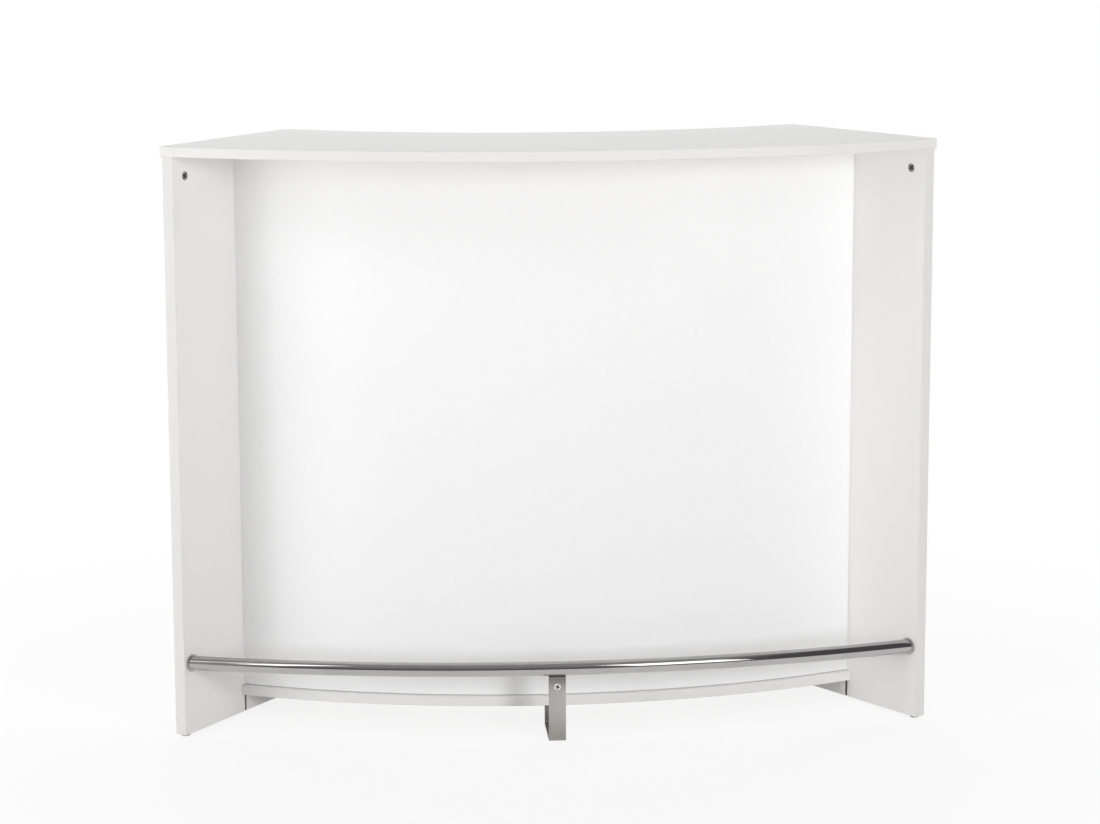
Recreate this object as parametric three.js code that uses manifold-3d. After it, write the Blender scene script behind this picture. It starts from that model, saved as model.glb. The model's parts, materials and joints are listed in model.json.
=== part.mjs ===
// A curved bar counter: a crescent top on two splayed side panels, a bent front panel in
// grooves, a chrome foot rail, and open shelves on pins behind. Millimetres, +Z up.
// The customer's side faces -Y, and the origin is on the floor under the middle of the top.
import * as THREE from "three";
import { mergeVertices } from "three/addons/utils/BufferGeometryUtils.js";
import Module from "manifold-3d";

// Overall size, and the plan of the counter top
const WIDTH = 1348;
const DEPTH = 449;
const HEIGHT = 1048;
const FRONT_RADIUS = 1580;
const REAR_RADIUS = 1000;
const SIDE_SPLAY = 35;

// Boards
const TOP_THICKNESS = 18;
const SIDE_THICKNESS = 22;
const BOTTOM_THICKNESS = 18;
const DIVIDER_THICKNESS = 18;
const SHELF_THICKNESS = 16;
const BAND_THICKNESS = 2;
const TOP_END_OVERHANG = 1;
const TOP_FRONT_OVERHANG = 4.5;
const REAR_INSET = 8;
const BOTTOM_UNDERSIDE = 36;
const BOTTOM_SETBACK = 163;

// Curved front panel and the grooves that hold it
const FRONT_PANEL_SETBACK = 171;
const FRONT_PANEL_THICKNESS = 4;
const SIDE_GROOVE_DEPTH = 8;
const BOARD_GROOVE_DEPTH = 6;
const HOUSING_DEPTH = 6;

// Shelves and their pins
const LOWER_SHELF_HEIGHT = 372;
const UPPER_SHELF_HEIGHT = 700;
const SHELF_FRONT_GAP = 3;
const SHELF_REAR_INSET = 20;
const PIN_DIAMETER = 5;
const PIN_COLLAR_DIAMETER = 8;
const PIN_COLLAR_THICKNESS = 1;
const PIN_REACH = 8;
const PIN_EDGE_DISTANCE = 38;
const HOLE_PITCH = 32;
const HOLES_EACH_WAY = 1;
const HOLE_WEB = 2;

// Cam fittings: a round cam in one board draws in a bolt that stands in the other
const CAM_DIAMETER = 15;
const CAM_DEPTH = 12.5;
const CAM_SLOT_DEPTH = 2;
const CAM_SLOT_WIDTH = 1.8;
const CAM_BOLT_DIAMETER = 6;
const CAM_BOLT_NECK_DIAMETER = 4;
const CAM_BOLT_HEAD_LENGTH = 3;
const CAM_BOLT_NECK_LENGTH = 6;
const CAM_BOLT_THREAD = 11;
const CAM_BOLT_AXIS_DEPTH = 9;
const CAM_EDGE_DISTANCE = 35;
const CAM_FRONT_DISTANCE = 34;
const BOTTOM_CAM_MARGIN = 36;

// Foot rail
const RAIL_DIAMETER = 25;
const RAIL_WALL = 1.5;
const RAIL_RADIUS = 2300;
const RAIL_HEIGHT = 132;
const RAIL_FRONT_DISTANCE = 21;
const FLANGE_RIM = 3;
const FLANGE_THICKNESS = 3;
const SPIGOT_LENGTH = 16;
const SPIGOT_CLEARANCE = 0.6;

// Strap that carries the middle of the rail
const STRAP_WIDTH = 30;
const STRAP_THICKNESS = 3;
const STRAP_BEND = 4;
const STRAP_BELOW_RAIL = 2;
const STRAP_REAR_LEG_BEHIND_EDGE = 5;
const STRAP_FLANGE = 34;
const TAB_LENGTH = 34;
const SCREW_BELOW_RAIL = 32;
const SCREW_DIAMETER = 6;
const SCREW_HEAD_DIAMETER = 12;
const SCREW_HEAD_THICKNESS = 3.6;
const SCREW_SLOT_LENGTH = 6;
const SCREW_SLOT_WIDTH = 1.4;
const SCREW_SLOT_DEPTH = 1.6;
const SCREW_TIP = 2;
const NUT_ACROSS_FLATS = 10;
const NUT_THICKNESS = 5;
const BOARD_SCREW_DIAMETER = 4;
const BOARD_SCREW_HEAD_DIAMETER = 8;
const BOARD_SCREW_HEAD_THICKNESS = 2.4;
const BOARD_SCREW_GRIP = 11;
const BOARD_SCREW_PITCH = 16;
const BOARD_SCREW_SLOT_LENGTH = 4;
const BOARD_SCREW_SLOT_WIDTH = 1;
const BOARD_SCREW_SLOT_DEPTH = 1;

// Glides
const GLIDE_DIAMETER = 16;
const GLIDE_HEIGHT = 4;
const GLIDE_STEM_DIAMETER = 6;
const GLIDE_STEM_LENGTH = 8;
const GLIDE_END_DISTANCE = 14;

// Clearance between fitted pieces and between touching ones, and fineness of the round shapes
const CLEARANCE = 0.3;
const CONTACT_GAP = 0.1;
const CUT_MARGIN = 1;
const ARC_SEGMENTS = 12;
const BEND_SEGMENTS = 2;
const RAIL_STEPS = 24;
const RAIL_SIDES = 12;
const FINE_SIDES = 16;
const COARSE_SIDES = 8;

// Finishes
function finish(color, roughness, metalness) {
  return new THREE.MeshStandardMaterial({ color, roughness, metalness });
}
const melamine = finish(0xf1f1ef, 0.45, 0);
const edgeBand = finish(0xeeeeec, 0.4, 0);
const frontLaminate = finish(0xf8f8f7, 0.3, 0);
const chrome = finish(0xd8dade, 0.08, 1);
const satinSteel = finish(0x9c9a96, 0.35, 1);
const darkZinc = finish(0x4a4845, 0.45, 0.9);
const zinc = finish(0xb9babc, 0.35, 1);
const greyPlastic = finish(0xa9a7a3, 0.6, 0);

// Solids
const wasm = await Module();
wasm.setup();

function toSolid(geometry) {
  const bare = geometry.clone();
  bare.deleteAttribute("normal");
  bare.deleteAttribute("uv");
  const welded = mergeVertices(bare, 1e-4);
  const corners = welded.index.array;
  const triangles = [];
  for (let i = 0; i < corners.length; i += 3) {
    const [a, b, c] = corners.slice(i, i + 3);
    if (a !== b && b !== c && c !== a) triangles.push(a, b, c);
  }
  return new wasm.Manifold(new wasm.Mesh({
    numProp: 3,
    vertProperties: new Float32Array(welded.attributes.position.array),
    triVerts: new Uint32Array(triangles),
  }));
}

function toGeometry(solid) {
  const mesh = solid.getMesh();
  const geometry = new THREE.BufferGeometry();
  geometry.setAttribute("position", new THREE.BufferAttribute(new Float32Array(mesh.vertProperties), 3));
  geometry.setIndex(new THREE.BufferAttribute(new Uint32Array(mesh.triVerts), 1));
  geometry.computeVertexNormals();
  return geometry;
}

function cut(geometry, tools) {
  const solid = tools.reduce((rest, tool) => rest.subtract(toSolid(tool)), toSolid(geometry));
  return toGeometry(solid);
}

function join(...pieces) {
  return toGeometry(pieces.map(toSolid).reduce((whole, piece) => whole.add(piece)));
}

function mirrored(geometry) {
  const copy = toGeometry(toSolid(geometry)).scale(-1, 1, 1);
  const corners = copy.index.array;
  for (let i = 0; i < corners.length; i += 3) {
    [corners[i + 1], corners[i + 2]] = [corners[i + 2], corners[i + 1]];
  }
  return copy;
}

// Basic shapes
const UP = new THREE.Vector3(0, 1, 0);

function vec(x, y, z) {
  return new THREE.Vector3(x, y, z);
}

function block(low, high) {
  const size = high.clone().sub(low);
  const middle = low.clone().add(high).multiplyScalar(0.5);
  return new THREE.BoxGeometry(size.x, size.y, size.z).translate(middle.x, middle.y, middle.z);
}

function aim(geometry, start, direction) {
  geometry.applyQuaternion(new THREE.Quaternion().setFromUnitVectors(UP, direction.clone().normalize()));
  return geometry.translate(start.x, start.y, start.z);
}

function rod(diameter, start, end, sides = FINE_SIDES) {
  const axis = end.clone().sub(start);
  const geometry = new THREE.CylinderGeometry(diameter / 2, diameter / 2, axis.length(), sides);
  return aim(geometry.translate(0, axis.length() / 2, 0), start, axis);
}

// A turned piece: [diameter, length] steps from its start, along a direction.
function turned(steps, start, direction, sides) {
  const profile = [new THREE.Vector2(0, 0)];
  let reached = 0;
  for (const [diameter, length] of steps) {
    profile.push(new THREE.Vector2(diameter / 2, reached));
    reached += length;
    profile.push(new THREE.Vector2(diameter / 2, reached));
  }
  profile.push(new THREE.Vector2(0, reached));
  const geometry = toGeometry(toSolid(new THREE.LatheGeometry(profile, sides)));
  return aim(geometry, start, direction);
}

function slab(shape, low, high) {
  const options = { depth: high - low, bevelEnabled: false, curveSegments: ARC_SEGMENTS };
  return new THREE.ExtrudeGeometry(shape, options).translate(0, 0, low);
}

// Plan of the counter, with y measured back from the middle of the top's front edge.
// The right end runs back along "along", and "inward" points from it into the counter.
const splay = THREE.MathUtils.degToRad(SIDE_SPLAY);
const along = new THREE.Vector2(-Math.sin(splay), Math.cos(splay));
const inward = new THREE.Vector2(-Math.cos(splay), -Math.sin(splay));
const frontArc = { centre: FRONT_RADIUS, radius: FRONT_RADIUS };
const frontCorner = new THREE.Vector2(
  WIDTH / 2, FRONT_RADIUS - Math.sqrt(FRONT_RADIUS ** 2 - (WIDTH / 2) ** 2));
const endLength = (DEPTH - frontCorner.y) / Math.cos(splay);
const rearCorner = frontCorner.clone().addScaledVector(along, endLength);
const rearArc = {
  centre: rearCorner.y + Math.sqrt(REAR_RADIUS ** 2 - rearCorner.x ** 2),
  radius: REAR_RADIUS,
};

function behind(arc, distance) {
  return { centre: arc.centre, radius: arc.radius - distance };
}

function before(arc, distance) {
  return behind(arc, -distance);
}

function depthAt(arc, x) {
  return arc.centre - Math.sqrt(arc.radius ** 2 - x ** 2);
}

// The point where an arc crosses the line that lies "inset" inside the right end.
function crossing(inset, arc) {
  const start = frontCorner.clone().addScaledVector(inward, inset);
  const fromCentre = start.clone().sub(new THREE.Vector2(0, arc.centre));
  const slope = fromCentre.dot(along);
  const excess = fromCentre.lengthSq() - arc.radius ** 2;
  return start.addScaledVector(along, -slope - Math.sqrt(slope ** 2 - excess));
}

// A board between two arcs, from the line inset in the right end to its mirror image, or to x = from.
function boardPlan(front, rear, inset, from = null) {
  const frontEnd = Math.asin(crossing(inset, front).x / front.radius);
  const rearEnd = Math.asin(crossing(inset, rear).x / rear.radius);
  const frontStart = from === null ? -frontEnd : Math.asin(from / front.radius);
  const rearStart = from === null ? -rearEnd : Math.asin(from / rear.radius);
  const quarter = Math.PI / 2;
  const shape = new THREE.Shape();
  shape.absarc(0, front.centre, front.radius, frontStart - quarter, frontEnd - quarter, false);
  shape.absarc(0, rear.centre, rear.radius, rearEnd - quarter, rearStart - quarter, true);
  shape.closePath();
  return shape;
}

// Places that several pieces share
const topUnderside = HEIGHT - TOP_THICKNESS;
const bottomTopside = BOTTOM_UNDERSIDE + BOTTOM_THICKNESS;
const innerFace = TOP_END_OVERHANG + SIDE_THICKNESS;
const sideLength = endLength - TOP_FRONT_OVERHANG - REAR_INSET;
const panelFront = behind(frontArc, FRONT_PANEL_SETBACK);
const panelRear = behind(panelFront, FRONT_PANEL_THICKNESS);
const grooveFront = before(panelFront, CLEARANCE);
const grooveRear = behind(panelRear, CLEARANCE);
const bottomFront = behind(frontArc, BOTTOM_SETBACK);
const boardsRear = before(rearArc, REAR_INSET);
const dividerFrontY = depthAt(panelRear, DIVIDER_THICKNESS / 2) + CLEARANCE;
const dividerRearY = depthAt(boardsRear, 0);
const shelfHeights = { lower: LOWER_SHELF_HEIGHT, upper: UPPER_SHELF_HEIGHT };
const holeDepth = (DIVIDER_THICKNESS - HOLE_WEB) / 2;
const shelfEndGap = CONTACT_GAP + PIN_COLLAR_THICKNESS + CLEARANCE;

// The right side panel's own frame: x outward, y back along the panel, from its outer front edge.
const sideOrigin = frontCorner.clone()
  .addScaledVector(inward, TOP_END_OVERHANG)
  .addScaledVector(along, TOP_FRONT_OVERHANG);

function toSide(point) {
  const offset = point.clone().sub(sideOrigin);
  return new THREE.Vector2(-offset.dot(inward), offset.dot(along));
}

function fromSide(geometry) {
  return geometry.clone().rotateZ(splay).translate(sideOrigin.x, sideOrigin.y, 0);
}

function onBothSides(geometry) {
  const right = fromSide(geometry);
  return [right, mirrored(right)];
}

const OUTWARD = vec(1, 0, 0);
const REARWARD = vec(0, 1, 0);
const UPWARD = vec(0, 0, 1);

function reversed(direction) {
  return direction.clone().negate();
}

// The inner face of the side panel, where the front panel leaves it and where the boards end.
const innerX = -SIDE_THICKNESS;
const frontPanelOnSide = toSide(crossing(innerFace, panelRear)).y;
const boardsEndOnSide = toSide(crossing(innerFace, boardsRear)).y;

// Shelf pins and the rows of holes for them: "at" is a place on a face, "into" points into the board.
const pinRise = PIN_DIAMETER / 2 + CLEARANCE;

function pinBores(at, into) {
  const bores = [];
  for (const level of Object.values(shelfHeights)) {
    for (let step = -HOLES_EACH_WAY; step <= HOLES_EACH_WAY; step += 1) {
      const height = level - pinRise + step * HOLE_PITCH;
      const mouth = vec(at.x, at.y, height).addScaledVector(into, -CUT_MARGIN);
      const end = vec(at.x, at.y, height).addScaledVector(into, holeDepth);
      bores.push(rod(PIN_DIAMETER + 2 * CLEARANCE, mouth, end, COARSE_SIDES));
    }
  }
  return bores;
}

function pin(at, into) {
  const insertion = holeDepth - CLEARANCE;
  const start = at.clone().addScaledVector(into, insertion);
  const steps = [
    [PIN_DIAMETER, insertion + CONTACT_GAP],
    [PIN_COLLAR_DIAMETER, PIN_COLLAR_THICKNESS],
    [PIN_DIAMETER, PIN_REACH],
  ];
  return turned(steps, start, reversed(into), COARSE_SIDES);
}

const sidePinsAt = {
  front: vec(innerX, frontPanelOnSide + PIN_EDGE_DISTANCE, 0),
  rear: vec(innerX, boardsEndOnSide - SHELF_REAR_INSET - PIN_EDGE_DISTANCE, 0),
};
const dividerPinsAt = {
  front: vec(DIVIDER_THICKNESS / 2, dividerFrontY + PIN_EDGE_DISTANCE, 0),
  rear: vec(DIVIDER_THICKNESS / 2, dividerRearY - SHELF_REAR_INSET - PIN_EDGE_DISTANCE, 0),
};

// Cam fitting: the cam sits in a board's face, and its bolt comes in from the board's edge.
// "at" is the cam's place on the face, "into" points into the board and "edge" to its edge.
const camBore = CAM_DIAMETER + 2 * CLEARANCE;
const boltBore = CAM_BOLT_DIAMETER + 2 * CLEARANCE;

function crossRecess(at, into, edge, length, width, depth) {
  const across = into.clone().cross(edge);
  return [edge, across].map((long) => {
    const short = long === edge ? across : edge;
    const half = long.clone().multiplyScalar(length / 2).addScaledVector(short, width / 2);
    const start = at.clone().sub(half).addScaledVector(into, -CUT_MARGIN);
    const end = at.clone().add(half).addScaledVector(into, depth);
    return block(start.clone().min(end), start.clone().max(end));
  });
}

function cam(at, into, edge) {
  const body = rod(CAM_DIAMETER, at, at.clone().addScaledVector(into, CAM_DEPTH));
  const boltAt = at.clone().addScaledVector(into, CAM_BOLT_AXIS_DEPTH);
  const slotStart = boltAt.clone().addScaledVector(edge, -CAM_BOLT_HEAD_LENGTH);
  const boltSlot = rod(boltBore, slotStart, boltAt.clone().addScaledVector(edge, CAM_DIAMETER), COARSE_SIDES);
  const recess = crossRecess(at, into, edge, CAM_DIAMETER / 2, CAM_SLOT_WIDTH, CAM_SLOT_DEPTH);
  return cut(body, [boltSlot, ...recess]);
}

function camPocket(at, into) {
  const mouth = at.clone().addScaledVector(into, -CUT_MARGIN);
  return rod(camBore, mouth, at.clone().addScaledVector(into, CAM_DEPTH + CLEARANCE));
}

// The bolt's hole, from the cam's centre to "reach" beyond the board's edge
function boltPath(at, into, edge, reach) {
  const start = at.clone().addScaledVector(into, CAM_BOLT_AXIS_DEPTH);
  return rod(boltBore, start, start.clone().addScaledVector(edge, CAM_EDGE_DISTANCE + reach), COARSE_SIDES);
}

function camBolt(at, into, edge, gap) {
  const headEnd = CAM_BOLT_HEAD_LENGTH - CLEARANCE;
  const start = at.clone().addScaledVector(into, CAM_BOLT_AXIS_DEPTH).addScaledVector(edge, -headEnd);
  const total = headEnd + CAM_EDGE_DISTANCE + gap + CAM_BOLT_THREAD;
  const steps = [
    [CAM_BOLT_DIAMETER, CAM_BOLT_HEAD_LENGTH],
    [CAM_BOLT_NECK_DIAMETER, CAM_BOLT_NECK_LENGTH],
    [CAM_BOLT_DIAMETER, total - CAM_BOLT_HEAD_LENGTH - CAM_BOLT_NECK_LENGTH],
  ];
  return turned(steps, start, edge, COARSE_SIDES);
}

const boltHoleReach = CAM_BOLT_THREAD + CLEARANCE;
const topCamsAt = {
  front: vec(innerX, CAM_FRONT_DISTANCE, topUnderside - CAM_EDGE_DISTANCE),
  rear: vec(innerX, sideLength - CAM_FRONT_DISTANCE, topUnderside - CAM_EDGE_DISTANCE),
};
const glidesAt = {
  front: vec(-SIDE_THICKNESS / 2, GLIDE_END_DISTANCE, 0),
  rear: vec(-SIDE_THICKNESS / 2, sideLength - GLIDE_END_DISTANCE, 0),
};
const bottomBoardEndX = innerX - CLEARANCE;
const bottomCamsAt = {
  front: vec(bottomBoardEndX - CAM_EDGE_DISTANCE, frontPanelOnSide + BOTTOM_CAM_MARGIN, BOTTOM_UNDERSIDE),
  rear: vec(bottomBoardEndX - CAM_EDGE_DISTANCE, boardsEndOnSide - BOTTOM_CAM_MARGIN, BOTTOM_UNDERSIDE),
};

// The whole counter, moved so that the origin is under the middle of its depth
const counter = new THREE.Group();
counter.position.y = -DEPTH / 2;

function add(parent, name, geometry, material) {
  const mesh = new THREE.Mesh(geometry, material);
  mesh.name = name;
  parent.add(mesh);
}

// Counter top, housed for the divider and grooved for the front panel
function frontPanelGroove(low, high) {
  return slab(boardPlan(grooveFront, grooveRear, innerFace - SIDE_GROOVE_DEPTH), low, high);
}

function dividerHousing(low, high) {
  const half = DIVIDER_THICKNESS / 2 + CLEARANCE;
  const front = depthAt(panelFront, 0) + FRONT_PANEL_THICKNESS / 2;
  return block(vec(-half, front, low), vec(half, dividerRearY + CLEARANCE, high));
}

function addCounterTop() {
  const board = boardPlan(behind(frontArc, BAND_THICKNESS), before(rearArc, BAND_THICKNESS), 0);
  const cuts = [
    frontPanelGroove(topUnderside - CUT_MARGIN, topUnderside + BOARD_GROOVE_DEPTH),
    dividerHousing(topUnderside - CUT_MARGIN, topUnderside + HOUSING_DEPTH),
  ];
  for (const at of Object.values(topCamsAt)) {
    cuts.push(...onBothSides(boltPath(at, OUTWARD, UPWARD, boltHoleReach)));
  }
  add(counter, "counter_top", cut(slab(board, topUnderside, HEIGHT), cuts), melamine);
  const frontBand = boardPlan(frontArc, behind(frontArc, BAND_THICKNESS), 0);
  const rearBand = boardPlan(before(rearArc, BAND_THICKNESS), rearArc, 0);
  add(counter, "counter_top_front_band", slab(frontBand, topUnderside, HEIGHT), edgeBand);
  add(counter, "counter_top_rear_band", slab(rearBand, topUnderside, HEIGHT), edgeBand);
}

// Bottom board, with its front edge proud of the front panel
function addBottomBoard() {
  const inset = innerFace + CLEARANCE;
  const front = behind(bottomFront, BAND_THICKNESS);
  const cuts = [
    frontPanelGroove(bottomTopside - BOARD_GROOVE_DEPTH, bottomTopside + CUT_MARGIN),
    dividerHousing(bottomTopside - HOUSING_DEPTH, bottomTopside + CUT_MARGIN),
  ];
  for (const at of Object.values(bottomCamsAt)) {
    cuts.push(...onBothSides(camPocket(at, UPWARD)));
    cuts.push(...onBothSides(boltPath(at, UPWARD, OUTWARD, CUT_MARGIN)));
  }
  for (const at of boardScrewsAt()) {
    const mouth = at.clone().addScaledVector(UPWARD, -CUT_MARGIN);
    const end = at.clone().addScaledVector(UPWARD, BOARD_SCREW_GRIP);
    cuts.push(rod(boardScrewBore, mouth, end, COARSE_SIDES));
  }
  const board = slab(boardPlan(front, boardsRear, inset), BOTTOM_UNDERSIDE, bottomTopside);
  add(counter, "bottom_board", cut(board, cuts), melamine);
  const band = boardPlan(bottomFront, front, inset);
  add(counter, "bottom_board_front_band", slab(band, BOTTOM_UNDERSIDE, bottomTopside), edgeBand);
}

function addFrontPanel() {
  const plan = boardPlan(panelFront, panelRear, innerFace - SIDE_GROOVE_DEPTH + CLEARANCE);
  const low = bottomTopside - BOARD_GROOVE_DEPTH + CLEARANCE;
  const high = topUnderside + BOARD_GROOVE_DEPTH - CLEARANCE;
  add(counter, "curved_front_panel", slab(plan, low, high), frontLaminate);
}

function addDivider() {
  const half = DIVIDER_THICKNESS / 2;
  const low = bottomTopside - HOUSING_DEPTH + CLEARANCE;
  const high = topUnderside + HOUSING_DEPTH - CLEARANCE;
  const board = block(vec(-half, dividerFrontY, low), vec(half, dividerRearY, high));
  const bores = Object.values(dividerPinsAt).flatMap((at) => pinBores(at, reversed(OUTWARD)));
  add(counter, "centre_divider", cut(board, [...bores, ...bores.map(mirrored)]), melamine);
}

// What stands on one side: the panel, its band, fittings, glides, shelves and pins
function addSidePanel(side, hand) {
  const board = block(
    vec(-SIDE_THICKNESS, BAND_THICKNESS + CONTACT_GAP, GLIDE_HEIGHT),
    vec(0, sideLength, topUnderside));
  const groove = new THREE.Shape([
    toSide(crossing(innerFace + CUT_MARGIN, grooveFront)),
    toSide(crossing(innerFace - SIDE_GROOVE_DEPTH, grooveFront)),
    toSide(crossing(innerFace - SIDE_GROOVE_DEPTH, grooveRear)),
    toSide(crossing(innerFace + CUT_MARGIN, grooveRear)),
  ]);
  const cuts = [slab(groove, GLIDE_HEIGHT - CUT_MARGIN, topUnderside + CUT_MARGIN)];
  for (const at of Object.values(sidePinsAt)) cuts.push(...pinBores(at, OUTWARD));
  for (const at of Object.values(topCamsAt)) {
    cuts.push(camPocket(at, OUTWARD), boltPath(at, OUTWARD, UPWARD, CUT_MARGIN));
  }
  for (const at of Object.values(bottomCamsAt)) {
    cuts.push(boltPath(at, UPWARD, OUTWARD, CLEARANCE + boltHoleReach));
  }
  for (const at of Object.values(glidesAt)) {
    const seat = vec(at.x, at.y, GLIDE_HEIGHT - CUT_MARGIN);
    const stemEnd = GLIDE_HEIGHT + GLIDE_STEM_LENGTH + CLEARANCE;
    cuts.push(rod(GLIDE_STEM_DIAMETER + 2 * CLEARANCE, seat, vec(at.x, at.y, stemEnd), COARSE_SIDES));
  }
  add(side, `${hand}_side_panel`, cut(board, cuts), melamine);
  const band = block(vec(-SIDE_THICKNESS, 0, GLIDE_HEIGHT), vec(0, BAND_THICKNESS, topUnderside));
  add(side, `${hand}_side_front_band`, band, edgeBand);
}

function addSideFittings(side, hand) {
  for (const [end, at] of Object.entries(glidesAt)) {
    const steps = [[GLIDE_DIAMETER, GLIDE_HEIGHT], [GLIDE_STEM_DIAMETER, GLIDE_STEM_LENGTH]];
    add(side, `${hand}_${end}_glide`, turned(steps, at, UPWARD, FINE_SIDES), greyPlastic);
  }
  for (const [end, at] of Object.entries(topCamsAt)) {
    add(side, `${hand}_${end}_top_cam`, cam(at, OUTWARD, UPWARD), darkZinc);
    add(side, `${hand}_${end}_top_cam_bolt`, camBolt(at, OUTWARD, UPWARD, 0), zinc);
  }
  for (const [end, at] of Object.entries(bottomCamsAt)) {
    add(side, `${hand}_${end}_bottom_cam`, cam(at, UPWARD, OUTWARD), darkZinc);
    add(side, `${hand}_${end}_bottom_cam_bolt`, camBolt(at, UPWARD, OUTWARD, CLEARANCE), zinc);
  }
}

function addShelves(half, side, hand) {
  const front = behind(panelRear, SHELF_FRONT_GAP);
  const rear = before(boardsRear, SHELF_REAR_INSET);
  const from = DIVIDER_THICKNESS / 2 + shelfEndGap;
  const plan = boardPlan(front, rear, innerFace + shelfEndGap, from);
  for (const [level, height] of Object.entries(shelfHeights)) {
    add(half, `${hand}_${level}_shelf`, slab(plan, height, height + SHELF_THICKNESS), melamine);
    for (const end of ["front", "rear"]) {
      const rise = vec(0, 0, height - pinRise);
      const sidePin = pin(sidePinsAt[end].clone().add(rise), OUTWARD);
      const dividerPin = pin(dividerPinsAt[end].clone().add(rise), reversed(OUTWARD));
      add(side, `${hand}_${level}_${end}_side_pin`, sidePin, zinc);
      add(half, `${hand}_${level}_${end}_divider_pin`, dividerPin, zinc);
    }
  }
}

// Foot rail, from one side panel's inner face to the other's
const railEnd = frontCorner.clone()
  .addScaledVector(inward, innerFace)
  .addScaledVector(along, TOP_FRONT_OVERHANG + RAIL_FRONT_DISTANCE);
const railArc = {
  centre: railEnd.y + Math.sqrt(RAIL_RADIUS ** 2 - railEnd.x ** 2),
  radius: RAIL_RADIUS,
};
const railFrontY = depthAt(railArc, 0);
const railEndAngle = Math.asin(railEnd.x / RAIL_RADIUS);
const flangeDiameter = RAIL_DIAMETER + 2 * FLANGE_RIM;

class RailLine extends THREE.Curve {
  constructor(endAngle) {
    super();
    this.endAngle = endAngle;
  }

  getPoint(t, target = new THREE.Vector3()) {
    const angle = (2 * t - 1) * this.endAngle;
    const y = railArc.centre - RAIL_RADIUS * Math.cos(angle);
    return target.set(RAIL_RADIUS * Math.sin(angle), y, RAIL_HEIGHT);
  }
}

function alongRail(diameter) {
  const section = new THREE.Shape();
  section.absarc(0, 0, diameter / 2, 0, 2 * Math.PI, false);
  const past = (RAIL_DIAMETER + flangeDiameter) / RAIL_RADIUS;
  return new THREE.ExtrudeGeometry(section, {
    steps: RAIL_STEPS,
    curveSegments: RAIL_SIDES / 2,
    extrudePath: new RailLine(railEndAngle + past),
  });
}

function addRail() {
  const outer = flangeDiameter * 4;
  const flangeFace = innerX - CONTACT_GAP - FLANGE_THICKNESS - CLEARANCE;
  const beyond = block(
    vec(flangeFace, RAIL_FRONT_DISTANCE - outer, RAIL_HEIGHT - outer),
    vec(flangeFace + outer, RAIL_FRONT_DISTANCE + outer, RAIL_HEIGHT + outer));
  const bore = alongRail(RAIL_DIAMETER - 2 * RAIL_WALL);
  const tube = cut(alongRail(RAIL_DIAMETER), [bore, ...onBothSides(beyond)]);
  add(counter, "foot_rail_tube", tube, chrome);
}

function addRailFlange(side, hand) {
  const centre = vec(innerX - CONTACT_GAP, RAIL_FRONT_DISTANCE, RAIL_HEIGHT);
  const disc = rod(flangeDiameter, centre, centre.clone().addScaledVector(OUTWARD, -FLANGE_THICKNESS));
  const lean = splay - railEndAngle;
  const railInward = vec(-Math.cos(lean), Math.sin(lean), 0);
  const spigotDiameter = RAIL_DIAMETER - 2 * RAIL_WALL - 2 * SPIGOT_CLEARANCE;
  const start = centre.clone().addScaledVector(railInward, FLANGE_THICKNESS / 2);
  const end = start.clone().addScaledVector(railInward, SPIGOT_LENGTH);
  const trimmed = block(
    centre.clone().add(vec(0, -flangeDiameter, -flangeDiameter)),
    centre.clone().add(vec(flangeDiameter, flangeDiameter, flangeDiameter)));
  const spigot = cut(rod(spigotDiameter, start, end, RAIL_SIDES), [trimmed]);
  add(side, `${hand}_rail_flange`, join(disc, spigot), chrome);
}

// Rail support: a tab under the tube, a bent strap on the floor, and their screws
const strapFrontY = railFrontY - STRAP_THICKNESS - CLEARANCE / 2;
const tabFrontY = strapFrontY + STRAP_THICKNESS + CLEARANCE;
const strapTop = RAIL_HEIGHT - RAIL_DIAMETER / 2 - STRAP_BELOW_RAIL;
const rearLegY = depthAt(bottomFront, 0) + STRAP_REAR_LEG_BEHIND_EDGE;
const strapSeat = BOTTOM_UNDERSIDE - CLEARANCE;
const screwBore = SCREW_DIAMETER + 2 * CLEARANCE;
const boardScrewBore = BOARD_SCREW_DIAMETER + 2 * CLEARANCE;

// The strap's path in the plane of its bends, as [y, z] corners on its outer side
function strapShape() {
  const t = STRAP_THICKNESS;
  const wide = STRAP_BEND + t;
  const slim = STRAP_BEND;
  const flangeEnd = rearLegY + t + STRAP_FLANGE;
  const shape = new THREE.Shape();
  shape.moveTo(strapFrontY, strapTop);
  shape.lineTo(strapFrontY, wide);
  shape.absarc(strapFrontY + wide, wide, wide, Math.PI, 1.5 * Math.PI, false);
  shape.lineTo(rearLegY + t - wide, 0);
  shape.absarc(rearLegY + t - wide, wide, wide, -Math.PI / 2, 0, false);
  shape.lineTo(rearLegY + t, strapSeat - t - slim);
  shape.absarc(rearLegY + t + slim, strapSeat - t - slim, slim, Math.PI, Math.PI / 2, true);
  shape.lineTo(flangeEnd, strapSeat - t);
  shape.lineTo(flangeEnd, strapSeat);
  shape.lineTo(rearLegY + t + slim, strapSeat);
  shape.absarc(rearLegY + t + slim, strapSeat - wide, wide, Math.PI / 2, Math.PI, false);
  shape.lineTo(rearLegY, wide);
  shape.absarc(rearLegY + t - wide, wide, slim, 0, -Math.PI / 2, true);
  shape.lineTo(strapFrontY + wide, t);
  shape.absarc(strapFrontY + wide, wide, slim, 1.5 * Math.PI, Math.PI, true);
  shape.lineTo(strapFrontY + t, strapTop);
  shape.closePath();
  return shape;
}

function boardScrewsAt() {
  const y = rearLegY + STRAP_THICKNESS + STRAP_BEND + (STRAP_FLANGE - STRAP_BEND) / 2;
  return [-1, 1].map((way) => vec(way * BOARD_SCREW_PITCH / 2, y, BOTTOM_UNDERSIDE));
}

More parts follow.
